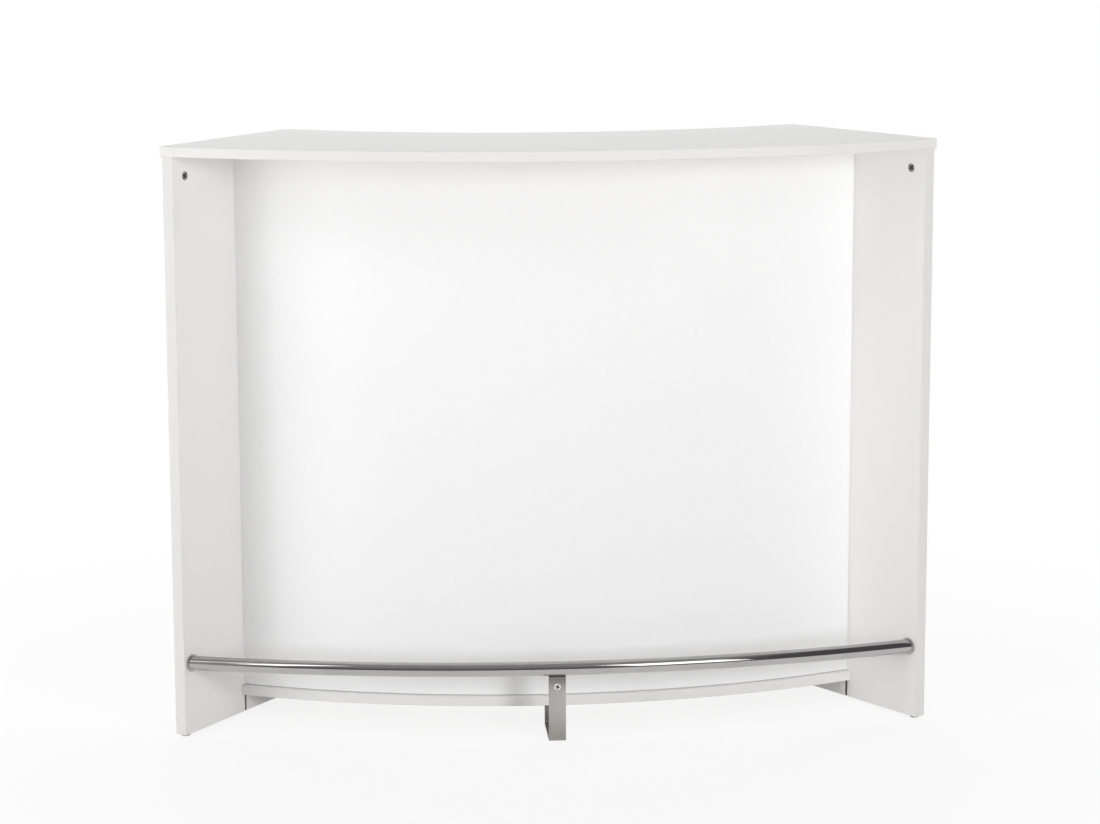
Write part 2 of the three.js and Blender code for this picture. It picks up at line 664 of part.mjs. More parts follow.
function addRailSupport() {
  const options = { depth: STRAP_WIDTH, bevelEnabled: false, curveSegments: BEND_SEGMENTS };
  const bent = new THREE.ExtrudeGeometry(strapShape(), options)
    .translate(0, 0, -STRAP_WIDTH / 2)
    .rotateX(Math.PI / 2)
    .rotateZ(Math.PI / 2);
  const screwAt = vec(0, strapFrontY - CONTACT_GAP, RAIL_HEIGHT - SCREW_BELOW_RAIL);
  const bore = rod(screwBore, screwAt, vec(0, rearLegY, screwAt.z), COARSE_SIDES);
  const boardBores = boardScrewsAt().map((at) => {
    const low = at.clone().addScaledVector(UPWARD, -STRAP_BEND - STRAP_THICKNESS);
    return rod(boardScrewBore, low, at, COARSE_SIDES);
  });
  add(counter, "rail_support_strap", cut(bent, [bore, ...boardBores]), satinSteel);
  const tab = block(
    vec(-STRAP_WIDTH / 2, tabFrontY, RAIL_HEIGHT - RAIL_DIAMETER / 2 - TAB_LENGTH),
    vec(STRAP_WIDTH / 2, tabFrontY + STRAP_THICKNESS, RAIL_HEIGHT));
  const weldGap = alongRail(RAIL_DIAMETER + 2 * CLEARANCE);
  add(counter, "rail_support_tab", cut(tab, [weldGap, bore]), satinSteel);
  addSupportScrew(screwAt);
  ["left", "right"].forEach((hand, index) => addBoardScrew(hand, boardScrewsAt()[index]));
}

// "at" is the middle of the underside of the screw's head.
function addSupportScrew(at) {
  const nutFront = tabFrontY + STRAP_THICKNESS + CONTACT_GAP;
  const steps = [
    [SCREW_HEAD_DIAMETER, SCREW_HEAD_THICKNESS],
    [SCREW_DIAMETER, nutFront + NUT_THICKNESS + SCREW_TIP - at.y],
  ];
  const start = at.clone().addScaledVector(REARWARD, -SCREW_HEAD_THICKNESS);
  const screw = turned(steps, start, REARWARD, FINE_SIDES);
  const recess = crossRecess(
    start, REARWARD, UPWARD, SCREW_SLOT_LENGTH, SCREW_SLOT_WIDTH, SCREW_SLOT_DEPTH);
  add(counter, "rail_support_screw", cut(screw, recess), zinc);
  const across = NUT_ACROSS_FLATS / Math.cos(Math.PI / 6);
  const nutEnd = vec(0, nutFront + NUT_THICKNESS, at.z);
  const hexagon = rod(across, vec(0, nutFront, at.z), nutEnd, 6);
  const bore = rod(screwBore, at, nutEnd.clone().addScaledVector(REARWARD, CUT_MARGIN));
  add(counter, "rail_support_nut", cut(hexagon, [bore]), zinc);
}

function addBoardScrew(hand, at) {
  const underStrap = strapSeat - STRAP_THICKNESS - CONTACT_GAP;
  const steps = [
    [BOARD_SCREW_HEAD_DIAMETER, BOARD_SCREW_HEAD_THICKNESS],
    [BOARD_SCREW_DIAMETER, BOTTOM_UNDERSIDE - underStrap + BOARD_SCREW_GRIP - CLEARANCE],
  ];
  const start = vec(at.x, at.y, underStrap - BOARD_SCREW_HEAD_THICKNESS);
  const screw = turned(steps, start, UPWARD, COARSE_SIDES);
  const recess = crossRecess(
    start, UPWARD, OUTWARD, BOARD_SCREW_SLOT_LENGTH, BOARD_SCREW_SLOT_WIDTH, BOARD_SCREW_SLOT_DEPTH);
  add(counter, `${hand}_strap_board_screw`, cut(screw, recess), zinc);
}

addCounterTop();
addBottomBoard();
addFrontPanel();
addDivider();
addRail();
addRailSupport();
for (const [hand, way] of [["left", -1], ["right", 1]]) {
  const half = new THREE.Group();
  half.scale.x = way;
  const side = new THREE.Group();
  side.position.set(sideOrigin.x, sideOrigin.y, 0);
  side.rotation.z = splay;
  half.add(side);
  counter.add(half);
  addSidePanel(side, hand);
  addSideFittings(side, hand);
  addRailFlange(side, hand);
  addShelves(half, side, hand);
}

export default counter;
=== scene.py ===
"""Looks of a curved bar counter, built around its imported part. Metres, +Z up, front to -Y."""
import json
import math

import bmesh
import bpy
from mathutils import Matrix, Vector


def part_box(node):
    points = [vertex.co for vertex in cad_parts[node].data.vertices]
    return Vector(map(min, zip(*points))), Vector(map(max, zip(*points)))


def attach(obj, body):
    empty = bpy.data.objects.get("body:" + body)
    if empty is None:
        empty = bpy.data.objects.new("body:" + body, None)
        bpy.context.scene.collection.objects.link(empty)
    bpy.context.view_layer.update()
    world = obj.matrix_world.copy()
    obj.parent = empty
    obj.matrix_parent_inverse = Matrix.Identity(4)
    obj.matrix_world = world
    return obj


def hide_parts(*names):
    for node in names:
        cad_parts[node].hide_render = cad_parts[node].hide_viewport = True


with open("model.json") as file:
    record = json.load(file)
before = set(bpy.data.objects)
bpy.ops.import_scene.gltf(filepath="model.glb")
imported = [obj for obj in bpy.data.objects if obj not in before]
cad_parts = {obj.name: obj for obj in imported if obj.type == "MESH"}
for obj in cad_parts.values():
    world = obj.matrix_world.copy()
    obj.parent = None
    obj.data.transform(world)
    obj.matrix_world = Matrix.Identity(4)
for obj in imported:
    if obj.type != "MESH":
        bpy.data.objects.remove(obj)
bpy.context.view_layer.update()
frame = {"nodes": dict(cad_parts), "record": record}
NODES = frame["nodes"]
BODY_OF = {
    node: body
    for body, nodes in frame["record"]["behaviour"]["bodies"].items()
    for node in nodes
}

# Camera, at the photograph's viewing angle
CAMERA_PLACE = Vector((-0.371, -5.0275, 1.537))
CAMERA_YAW = math.radians(4.23)
CAMERA_PITCH = math.radians(9.23)
CAMERA_ROLL = math.radians(0.18)
CAMERA_LENS = 94.3
CAMERA_SENSOR = 36
CAMERA_SHIFT_Y = -0.08

# Studio: name, place, width, height and power of each soft box, in metres and watts
KEY_BOXES = [
    ("left_key_box", (-1.97, -2.70, 3.24), 0.50, 2.2, 8.7),
    ("left_glow_box", (-2.51, -2.39, 3.24), 0.42, 2.2, 2.8),
    ("right_key_box", (1.60, -4.11, 2.75), 1.26, 2.8, 28),
]
FILL_BOXES = [
    ("left_front_fill", (-3.43, -2.68, 1.21), 1.2, 2.0, 33),
    ("left_side_fill", (-3.99, -1.86, 0.55), 1.6, 1.0, 39),
    ("left_high_fill", (-3.00, -1.73, 3.31), 1.4, 1.4, 25),
    ("right_front_fill", (2.31, -3.70, 1.21), 1.2, 2.0, 87),
    ("right_high_fill", (2.84, -1.99, 3.31), 1.4, 1.4, 9),
    ("overhead_fill", (0, 1.2, 3.4), 3.0, 1.6, 29),
    ("rear_left_fill", (-3.2, 3.2, 1.8), 1.6, 1.6, 58),
    ("rear_right_fill", (3.2, 3.2, 1.8), 1.6, 1.6, 58),
    ("rear_fill", (0, 4.4, 1.9), 3.2, 1.2, 80),
]
LIGHT_AIM = Vector((0, 0, 0.6))
AMBIENT = 0.02
WHITE = (1, 1, 1, 1)
BACKDROP_WHITE = 1.0

# Floor: its tone for light that bounces and for eyes, and how far its shadow reaches
FLOOR_HALF = 14.0
FLOOR_BOUNCE_TONE = (0.62, 0.60, 0.565, 1)
FLOOR_SEEN_TONE = (0.90, 0.90, 0.90, 1)
FLOOR_ROUGHNESS = 0.9
FLOOR_SPECULAR = 0.1
FLOOR_SHADOW_SHARE = 0.16
SHADOW_FADE_START = 0.65
SHADOW_FADE_END = 1.8

# What metal mirrors: the studio's tones, and where each wall fades in along a direction's X or Y
UNLIT_LOW_TONE = (0.125, 0.12, 0.135, 1)
UNLIT_HIGH_TONE = (0.42, 0.41, 0.42, 1)
PALE_WALL_TONE = (0.46, 0.45, 0.44, 1)
PALE_WALL_X = (-0.38, -0.54)
DARK_WALL_TONE = (0.12, 0.11, 0.125, 1)
DARK_WALL_X = (0.28, 0.42)
BACKDROP_Y = (-0.10, 0.25)

# Directions in the counter's plan
FORWARD = Vector((0, -1, 0))
REARWARD = Vector((0, 1, 0))
UPWARD = Vector((0, 0, 1))
SIDEWAYS = {"left": Vector((-1, 0, 0)), "right": Vector((1, 0, 0))}
SPLAY = math.radians(35)
OUTWARD = {
    "left": Vector((-math.cos(SPLAY), math.sin(SPLAY), 0)),
    "right": Vector((math.cos(SPLAY), math.sin(SPLAY), 0)),
}
BACK_ALONG = {"left": OUTWARD["left"].cross(UPWARD), "right": UPWARD.cross(OUTWARD["right"])}
HANDS = ("left", "right")
LEVELS = ("lower", "upper")
ENDS = ("front", "rear")

# Arrises, and the fineness of round shapes
BOARD_ARRIS = 0.0006
BAND_ARRIS = 0.0012
STRAP_ARRIS = 0.0005
NUT_ARRIS = 0.0004
SHEET_ARRIS = 0.0008
ARRIS_SEGMENTS = 3
ARRIS_PROFILE = 0.5
WELD_DISTANCE = 1e-6
FLAT_ANGLE = math.radians(0.2)
ARRIS_ANGLE = math.radians(60)
SMOOTH_ANGLE = math.radians(50)
LONG_EDGE = 0.004
ROUND_SIDES = 40
CORNER_STEPS = 5

# Faces that cuts leave: the number of their finish, and how far inside a board's outline they lie
CUT_FACE = 1
CORE_MARGIN = 0.001

# How squarely a glued or banded edge looks along its direction, and how far a curved one leans
EDGE_FACING = 0.8
CURVED_EDGE_FACING = 0.6
UPRIGHT_LEAN = 0.1

# Foot rail
RAIL_RADIUS = 2.3
RAIL_WALL = 0.0015
RAIL_STATIONS = 120
RAIL_SIDES = 56
FLANGE_THICKNESS = 0.003
FLANGE_GAP = 0.0003
FLANGE_ROUND = 0.0006
FLANGE_UNDERCUT = 0.0012
FLANGE_LIFT = 0.0008
SPIGOT_RADIUS = 0.0104
SPIGOT_LENGTH = 0.016
SPIGOT_ROUND = 0.0008

# Colour of the rail's support: painted shade of the rail at its top, and darker towards the floor at
# its foot
RAIL_SHADE_HEIGHTS = (0.085, 0.118)
PAINTED_RAIL_SHADE = (0.24, 0.236, 0.23, 1)
DARKER_FOOT_HEIGHTS = (0.070, 0.0)
DARKER_FOOT_TONE = (0.36, 0.345, 0.32, 1)

# Painted shade in the joint where the front panel stands in the bottom board
LEDGE_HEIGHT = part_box("bottom_board")[1].z
JOINT_SHADE_REACH = 0.0022
JOINT_SHADE_CORE = 0.0008
JOINT_SHADE_HEIGHTS = (LEDGE_HEIGHT + JOINT_SHADE_REACH, LEDGE_HEIGHT + JOINT_SHADE_CORE)
PAINTED_JOINT_SHADE = (0.42, 0.41, 0.39, 1)

# Screws; the cross recess is in shares of the head's radius and height
SCREW_HEAD_HEIGHT = 0.0036
SCREW_SHANK_RADIUS = 0.003
BOARD_SCREW_HEAD_HEIGHT = 0.0024
BOARD_SCREW_SHANK_RADIUS = 0.002
SCREW_ROUND = 0.0004
SCREW_DOME_SHARE = 0.62
SCREW_DOME_STEPS = 8
SCREW_CROSS_LENGTH = 1.5
SCREW_CROSS_WIDTH = 0.40
SCREW_CROSS_DEPTH = 0.75
SCREW_CROSS_TURN = math.radians(17)
CROSS_FLOOR_SHARE = 0.55

# Cam locks; the cross recess is in shares of the radius and of the length
CAM_ROUND = 0.0005
CAM_DISH_SHARE = 0.84
CAM_DISH_DEPTH = 0.0006
CAM_CROSS_LENGTH = 1.45
CAM_CROSS_WIDTH = 0.42
CAM_CROSS_DEPTH = 0.45
CAM_CROSS_TURN = math.radians(38)

# Shelf pins and glides
PIN_RADIUS = 0.0025
PIN_REACH = 0.008
PIN_COLLAR = 0.001
PIN_ROUND = 0.0006
GLIDE_HEIGHT = 0.004
GLIDE_STEM_RADIUS = 0.003
GLIDE_ROUND = 0.0016

# Grain of the finishes: features to a metre, depths in metres
NOISE_LOW = 0.3
NOISE_HIGH = 0.7
PLAIN_DETAIL = 1.0
MIDDLE_DETAIL = 3.0
FINE_DETAIL = 4.0
PAPER_GRAIN = 900.0
PAPER_PATCHES = 220.0
PEARL_STRENGTH = 0.25
WAVES = 5.0
WAVE_STRENGTH = 0.5
DRAWN_CLOUDS = 18.0
CAST_CLOUDS = 120.0
LINE_STRENGTH = 0.3
PLASTIC_CLOUDS = 60.0
PLASTIC_PATCHES = 250.0
SPARK_GRAIN = 1500.0
SPARK_DEPTH = 0.00008
SPARK_STRENGTH = 0.4
CHIPS = 350.0
CHIP_STRETCH = (1, 1, 2.5)
# chip tones darker than raw chipboard: painted shade inside grooves and bores
SHADED_CHIP_TONES = ((0.07, 0.05, 0.035), (0.27, 0.20, 0.13))
CHIP_ROUGHNESS = (0.75, 0.95)
CHIP_DEPTH = 0.0004
CHIP_STRENGTH = 0.6


# Mesh helpers
def link_mesh(name, bm):
    bmesh.ops.recalc_face_normals(bm, faces=bm.faces)
    mesh = bpy.data.meshes.new(name)
    bm.to_mesh(mesh)
    bm.free()
    piece = bpy.data.objects.new(name, mesh)
    bpy.context.scene.collection.objects.link(piece)
    return piece


def shade(piece):
    """Smooth shading that keeps flat faces flat and real corners sharp."""
    piece.data.shade_smooth()
    piece.data.set_sharp_from_angle(angle=SMOOTH_ANGLE)
    even = piece.modifiers.new("even_normals", "WEIGHTED_NORMAL")
    even.keep_sharp = True


def slot_of(node):
    return NODES[node].data.materials[0].name


def finish_of(node):
    return FINISHES[slot_of(node)]


def dress(piece, *finishes):
    """Gives the piece its finish, and others for the faces that carry their number."""
    for finish in finishes:
        piece.data.materials.append(finish)


def stand_for(piece, node):
    """The piece takes the place and body of a CAD node, which it hides."""
    shade(piece)
    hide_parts(node)
    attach(piece, BODY_OF[node])
    return piece


def mark_cuts(bm, axes):
    """Marks the grooves and bores of a flat board, which lie inside its outline along every axis."""
    spans = []
    for axis in axes:
        places = [vertex.co.dot(axis) for vertex in bm.verts]
        spans.append((axis, min(places) + CORE_MARGIN, max(places) - CORE_MARGIN))
    for face in bm.faces:
        middle = face.calc_center_median()
        if all(low < middle.dot(axis) < high for axis, low, high in spans):
            face.material_index = CUT_FACE


def mark_band(bm, banded, index):
    """Marks the edges that carry a thin glued band."""
    bm.normal_update()
    for face in bm.faces:
        if face.material_index != CUT_FACE and banded(face.normal):
            face.material_index = index


def nowhere(normal):
    return False


def softened(node, arris, glued=nowhere, cut_axes=(), banded=None):
    """A copy of a board or bent part with rounded arrises, but none at its glued faces and cuts."""
    bm = bmesh.new()
    bm.from_mesh(NODES[node].data)
    bmesh.ops.remove_doubles(bm, verts=bm.verts, dist=WELD_DISTANCE)
    bmesh.ops.dissolve_limit(bm, angle_limit=FLAT_ANGLE, verts=bm.verts, edges=bm.edges)
    bm.normal_update()
    if cut_axes:
        mark_cuts(bm, cut_axes)
    arrises = [
        edge
        for edge in bm.edges
        if edge.calc_face_angle() > ARRIS_ANGLE
        and edge.calc_length() > LONG_EDGE
        and not any(face.material_index == CUT_FACE or glued(face.normal) for face in edge.link_faces)
    ]
    bmesh.ops.bevel(
        bm, geom=arrises, offset=arris, offset_type="OFFSET", segments=ARRIS_SEGMENTS,
        profile=ARRIS_PROFILE, affect="EDGES", clamp_overlap=False, loop_slide=False)
    bmesh.ops.dissolve_degenerate(bm, dist=WELD_DISTANCE, edges=bm.edges)
    finishes = [finish_of(node)]
    if cut_axes:
        finishes.append(CHIPBOARD)
    if banded:
        mark_band(bm, banded, len(finishes))
        finishes.append(FINISHES["edge_band"])
    piece = link_mesh(f"{node}_finished", bm)
    dress(piece, *finishes)
    return stand_for(piece, node)


def round_corners(points, radius):
    """A profile whose inner corners are rounded; its first and last points stay."""
    rounded = [Vector(points[0])]
    for before, corner, after in zip(points, points[1:], points[2:]):
        corner = Vector(corner)
        back = Vector(before) - corner
        on = Vector(after) - corner
        reach = min(radius, back.length / 2, on.length / 2)
        start = corner + back.normalized() * reach
        end = corner + on.normalized() * reach
        for step in range(CORNER_STEPS + 1):
            t = step / CORNER_STEPS
            rounded.append(start * (1 - t) ** 2 + corner * (2 * t * (1 - t)) + end * t ** 2)
    rounded.append(Vector(points[-1]))
    return rounded


def domed(radius, height):
    """A quarter round that rises from the axis to the rim."""
    turns = [math.radians(90) * step / SCREW_DOME_STEPS for step in range(SCREW_DOME_STEPS + 1)]
    return [Vector((radius * math.sin(turn), height * (1 - math.cos(turn)))) for turn in turns]


def distinct(points):
    """The points without those that repeat the one before."""
    kept = [Vector(points[0])]
    for point in points[1:]:
        if (Vector(point) - kept[-1]).length > WELD_DISTANCE:
            kept.append(Vector(point))
    return kept


def add_ring(bm, centre, across, over, radius, sides):
    turn = 2 * math.pi / sides
    return [
        bm.verts.new(
            centre + across * (radius * math.cos(turn * i)) + over * (radius * math.sin(turn * i)))
        for i in range(sides)
    ]


def join_rings(bm, first, second):
    """Faces between two rings; one of them may be a single point."""
    count = max(len(first), len(second))
    for i in range(count):
        corners = [first[i % len(first)], first[(i + 1) % len(first)],
                   second[(i + 1) % len(second)], second[i % len(second)]]
        bm.faces.new(dict.fromkeys(corners))


def turned(name, profile, start, axis):
    """A solid of revolution: profile points are (radius, distance from the start along the axis)."""
    bm = bmesh.new()
    across = axis.orthogonal().normalized()
    over = axis.cross(across)
    rings = []
    for radius, distance in distinct(profile):
        centre = start + axis * distance
        if radius == 0:
            rings.append([bm.verts.new(centre)])
        else:
            rings.append(add_ring(bm, centre, across, over, radius, ROUND_SIDES))
    for first, second in zip(rings, rings[1:]):
        join_rings(bm, first, second)
    return link_mesh(name, bm)


def axis_span(node, axis):
    """Where a turned CAD node starts on its axis, its length and its largest radius."""
    across = axis.orthogonal().normalized()
    over = axis.cross(across)
    corners = [vertex.co for vertex in NODES[node].data.vertices]
    lows = Vector([min(c.dot(d) for c in corners) for d in (axis, across, over)])
    highs = Vector([max(c.dot(d) for c in corners) for d in (axis, across, over)])
    middle = (lows + highs) / 2
    start = axis * lows[0] + across * middle[1] + over * middle[2]
    radius = max((c - start - axis * (c - start).dot(axis)).length for c in corners)
    return start, highs[0] - lows[0], radius


def combine(piece, tool, operation):
    """Cuts the tool from the piece or joins it to the piece, and removes the tool."""
    step = piece.modifiers.new("combine", "BOOLEAN")
    step.operation = operation
    step.object = tool
    step.solver = "EXACT"
    graph = bpy.context.evaluated_depsgraph_get()
    mesh = bpy.data.meshes.new_from_object(piece.evaluated_get(graph))
    piece.modifiers.clear()
    piece.data = mesh
    bpy.data.objects.remove(tool)
    return piece


def carve_cross(piece, start, axis, along, length, width, depth):
    """Cuts a driver's cross recess, narrower at its bottom, into the piece's end."""
    bm = bmesh.new()
    across = axis.cross(along)
    corners = []
    for ahead in (along, across, -along, -across):
        side = axis.cross(ahead)
        corners += [
            ahead * (length / 2) - side * (width / 2),
            ahead * (length / 2) + side * (width / 2),
            (ahead + side) * (width / 2),
        ]
    rings = []
    for distance, share in ((-depth, 1), (0, 1), (depth, CROSS_FLOOR_SHARE)):
        middle = start + axis * distance
        rings.append([bm.verts.new(middle + corner * share) for corner in corners])
    for first, second in zip(rings, rings[1:]):
        join_rings(bm, first, second)
    bm.faces.new(rings[0])
    bm.faces.new(rings[-1])
    # the recess faces take the piece's second finish, the painted recess shade
    for face in bm.faces:
        face.material_index = CUT_FACE
    return combine(piece, link_mesh("cross_tool", bm), "DIFFERENCE")


# Node helpers
def new_finish(name):
    material = bpy.data.materials.new(name)
    material.use_nodes = True
    return material, material.node_tree, material.node_tree.nodes["Principled BSDF"]


def noise(tree, scale, stretch=(1, 1, 1), detail=MIDDLE_DETAIL):
    """Noise in the part's own metres: "scale" features to a metre, times "stretch" along each axis."""
    place = tree.nodes.new("ShaderNodeTexCoord")
    mapping = tree.nodes.new("ShaderNodeMapping")
    mapping.inputs["Scale"].default_value = stretch
    texture = tree.nodes.new("ShaderNodeTexNoise")
    texture.inputs["Scale"].default_value = scale
    texture.inputs["Detail"].default_value = detail
    tree.links.new(place.outputs["Object"], mapping.inputs["Vector"])
    tree.links.new(mapping.outputs["Vector"], texture.inputs["Vector"])
    return texture.outputs["Fac"]


def ranged(tree, value, span):
    """The noise's middle range, spread over the span."""
    spread = tree.nodes.new("ShaderNodeMapRange")
    spread.inputs["From Min"].default_value = NOISE_LOW
    spread.inputs["From Max"].default_value = NOISE_HIGH
    spread.inputs["To Min"].default_value = span[0]
    spread.inputs["To Max"].default_value = span[1]
    tree.links.new(value, spread.inputs["Value"])
    return spread.outputs["Result"]


def tinted(tree, value, tones):
    """The noise's middle range, from the first tone to the second."""
    ramp = tree.nodes.new("ShaderNodeValToRGB")
    for element, place, tone in zip(ramp.color_ramp.elements, (NOISE_LOW, NOISE_HIGH), tones):
        element.position = place
        element.color = (*tone, 1)
    tree.links.new(value, ramp.inputs["Fac"])
    return ramp.outputs["Color"]


def bumped(tree, height, distance, strength, under=None):
    bump = tree.nodes.new("ShaderNodeBump")
    bump.inputs["Distance"].default_value = distance
    bump.inputs["Strength"].default_value = strength
    tree.links.new(height, bump.inputs["Height"])
    if under is not None:
        tree.links.new(under, bump.inputs["Normal"])
    return bump.outputs["Normal"]


def axis_values(tree, kind):
    """X, Y and Z of a kind of texture coordinate."""
    place = tree.nodes.new("ShaderNodeTexCoord")
    split = tree.nodes.new("ShaderNodeSeparateXYZ")
    tree.links.new(place.outputs[kind], split.inputs["Vector"])
    return split.outputs


def link_fade(tree, value, start, end):
    """Goes smoothly from 0 at the start to 1 at the end."""
    fade = tree.nodes.new("ShaderNodeMapRange")
    fade.interpolation_type = "SMOOTHSTEP"
    fade.inputs["From Min"].default_value = start
    fade.inputs["From Max"].default_value = end
    tree.links.new(value, fade.inputs["Value"])
    return fade.outputs["Result"]


def link_math(tree, operation, first, second):
    step = tree.nodes.new("ShaderNodeMath")
    step.operation = operation
    tree.links.new(first, step.inputs[0])
    tree.links.new(second, step.inputs[1])
    return step.outputs["Value"]


def link_mix(tree, share, first, second):
    """A colour between two others, each a constant or a link."""
    mix = tree.nodes.new("ShaderNodeMix")
    mix.data_type = "RGBA"
    tree.links.new(share, mix.inputs["Factor"])
    sockets = [socket for socket in mix.inputs if socket.type == "RGBA"]
    for socket, colour in zip(sockets, (first, second)):
        if isinstance(colour, tuple):
            socket.default_value = colour
        else:
            tree.links.new(colour, socket)
    return next(result for result in mix.outputs if result.type == "RGBA")


def link_blend(tree, share, first, second):
    """A shader between two others."""
    blend = tree.nodes.new("ShaderNodeMixShader")
    tree.links.new(share, blend.inputs["Fac"])
    tree.links.new(first, blend.inputs[1])
    tree.links.new(second, blend.inputs[2])
    return blend.outputs["Shader"]


def seen_by(tree, *kinds):
    """1 for the named kinds of rays and 0 for all others."""
    rays = tree.nodes.new("ShaderNodeLightPath")
    seen = rays.outputs[kinds[0]]
    for kind in kinds[1:]:
        seen = link_math(tree, "MAXIMUM", seen, rays.outputs[kind])
    return seen


# Finishes
def darkened_by_height(tree, tone, darkenings):
    """The tone, darkened to another colour over each range of heights above the floor; the finishes use
    it for painted shade and for a darker foot.
    """
    for heights, darker_tone in darkenings:
        height = axis_values(tree, "Object")["Z"]
        tone = link_mix(tree, link_fade(tree, height, *heights), tone, darker_tone)
    return tone


def white_board(name, tones, roughness, pearl_depth, wave_depth, darkenings=()):
    """White decor paper: a faint grain of tone, a fine pearl in the surface and slight waves."""
    material, tree, shader = new_finish(name)
    tone = darkened_by_height(tree, tinted(tree, noise(tree, PAPER_GRAIN), tones), darkenings)
    tree.links.new(tone, shader.inputs["Base Color"])
    tree.links.new(ranged(tree, noise(tree, PAPER_PATCHES), roughness), shader.inputs["Roughness"])
    pearl = bumped(tree, noise(tree, PAPER_GRAIN, detail=PLAIN_DETAIL), pearl_depth, PEARL_STRENGTH)
    swell = noise(tree, WAVES, detail=PLAIN_DETAIL)
    waves = bumped(tree, swell, wave_depth, WAVE_STRENGTH, under=pearl)
    tree.links.new(waves, shader.inputs["Normal"])
    return material


def bright_metal(
        name, tones, roughness, line_scales, line_depth, clouds=DRAWN_CLOUDS, metallic=1.0, darkenings=()):
    """Metal with fine lines, uneven polish, a faint change of tone and darker ranges of heights, which
    the steel uses for painted shade and a darker foot.
    """
    material, tree, shader = new_finish(name)
    shader.inputs["Metallic"].default_value = metallic
    tone = darkened_by_height(tree, tinted(tree, noise(tree, clouds), tones), darkenings)
    tree.links.new(tone, shader.inputs["Base Color"])
    lines = noise(tree, 1.0, stretch=line_scales, detail=FINE_DETAIL)
    tree.links.new(ranged(tree, lines, roughness), shader.inputs["Roughness"])
    tree.links.new(bumped(tree, lines, line_depth, LINE_STRENGTH), shader.inputs["Normal"])
    return material


def moulded_plastic(name, tones, roughness):
    """Moulded plastic with a fine spark-eroded grain."""
    material, tree, shader = new_finish(name)
    tree.links.new(tinted(tree, noise(tree, PLASTIC_CLOUDS), tones), shader.inputs["Base Color"])
    tree.links.new(ranged(tree, noise(tree, PLASTIC_PATCHES), roughness), shader.inputs["Roughness"])
    grain = bumped(tree, noise(tree, SPARK_GRAIN, detail=PLAIN_DETAIL), SPARK_DEPTH, SPARK_STRENGTH)
    tree.links.new(grain, shader.inputs["Normal"])
    return material


def chipboard_with_groove_shade(name):
    """Pressed wood chips, as a saw or a drill leaves them, darker than their own brown to paint the
    shade inside grooves and bores.
    """
    material, tree, shader = new_finish(name)
    chips = noise(tree, CHIPS, stretch=CHIP_STRETCH, detail=FINE_DETAIL)
    tree.links.new(tinted(tree, chips, SHADED_CHIP_TONES), shader.inputs["Base Color"])
    tree.links.new(ranged(tree, chips, CHIP_ROUGHNESS), shader.inputs["Roughness"])
    tree.links.new(bumped(tree, chips, CHIP_DEPTH, CHIP_STRENGTH), shader.inputs["Normal"])
    return material


FINISHES = {
    "melamine": white_board(
        "white_melamine",
        tones=((0.872, 0.872, 0.866), (0.884, 0.884, 0.878)),
        roughness=(0.38, 0.48),
        pearl_depth=0.00006,
        wave_depth=0.0004),
    "edge_band": white_board(
        "white_edge_band",
        tones=((0.804, 0.804, 0.802), (0.817, 0.817, 0.816)),
        roughness=(0.32, 0.40),
        pearl_depth=0.00005,
        wave_depth=0.0002),
    "front_laminate": white_board(
        "white_front_laminate",
        tones=((0.912, 0.912, 0.924), (0.920, 0.920, 0.932)),
        roughness=(0.27, 0.31),
        pearl_depth=0.00002,
        wave_depth=0.0022,
        # painted shade along the joint at the front panel's foot
        darkenings=((JOINT_SHADE_HEIGHTS, PAINTED_JOINT_SHADE),)),
    "chrome": bright_metal(
        "bright_chrome",
        tones=((0.43, 0.427, 0.42), (0.47, 0.467, 0.46)),
        roughness=(0.03, 0.08),
        line_scales=(6, 500, 500),
        line_depth=0.00001),
    "satin_steel": bright_metal(
        "satin_grey_steel",
        tones=((0.48, 0.47, 0.45), (0.55, 0.54, 0.52)),
        roughness=(0.30, 0.44),
        line_scales=(1400, 20, 20),
        line_depth=0.00003,
        # painted shade of the rail at the top of its support, and darker towards the floor at its foot
        darkenings=((RAIL_SHADE_HEIGHTS, PAINTED_RAIL_SHADE), (DARKER_FOOT_HEIGHTS, DARKER_FOOT_TONE))),
    "dark_zinc": bright_metal(
        "dark_zinc_alloy",
        tones=((0.26, 0.255, 0.245), (0.38, 0.37, 0.36)),
        roughness=(0.30, 0.42),
        line_scales=(400, 400, 400),
        line_depth=0.00005,
        clouds=CAST_CLOUDS),
    "zinc": bright_metal(
        "bright_zinc_plate",
        tones=((0.88, 0.88, 0.89), (0.94, 0.94, 0.94)),
        roughness=(0.18, 0.28),
        line_scales=(500, 500, 500),
        line_depth=0.00003,
        clouds=CAST_CLOUDS,
        metallic=0.4),
    "grey_plastic": moulded_plastic(
        "grey_moulded_plastic",
        tones=((0.36, 0.355, 0.34), (0.43, 0.42, 0.40)),
        roughness=(0.5, 0.62)),
}
# near-black metal for the cross recesses: painted shade inside them
PAINTED_RECESS_SHADE = bright_metal(
    "recess_metal_painted_shade",
    tones=((0.05, 0.05, 0.05), (0.10, 0.10, 0.095)),
    roughness=(0.45, 0.60),
    line_scales=(500, 500, 500),
    line_depth=0.00005,
    clouds=CAST_CLOUDS)
PRESSED_CHROME = bright_metal(
    "pressed_chrome",
    tones=((0.50, 0.497, 0.49), (0.56, 0.557, 0.55)),
    roughness=(0.24, 0.34),
    line_scales=(300, 300, 300),
    line_depth=0.00002)
CHIPBOARD = chipboard_with_groove_shade("chipboard_with_groove_shade")


# Boards, bands and the bent front
def faces_front_or_rear(normal):
    return abs(normal.y) > CURVED_EDGE_FACING and abs(normal.z) < UPRIGHT_LEAN


def faces(direction):
    return lambda normal: normal.dot(direction) > EDGE_FACING


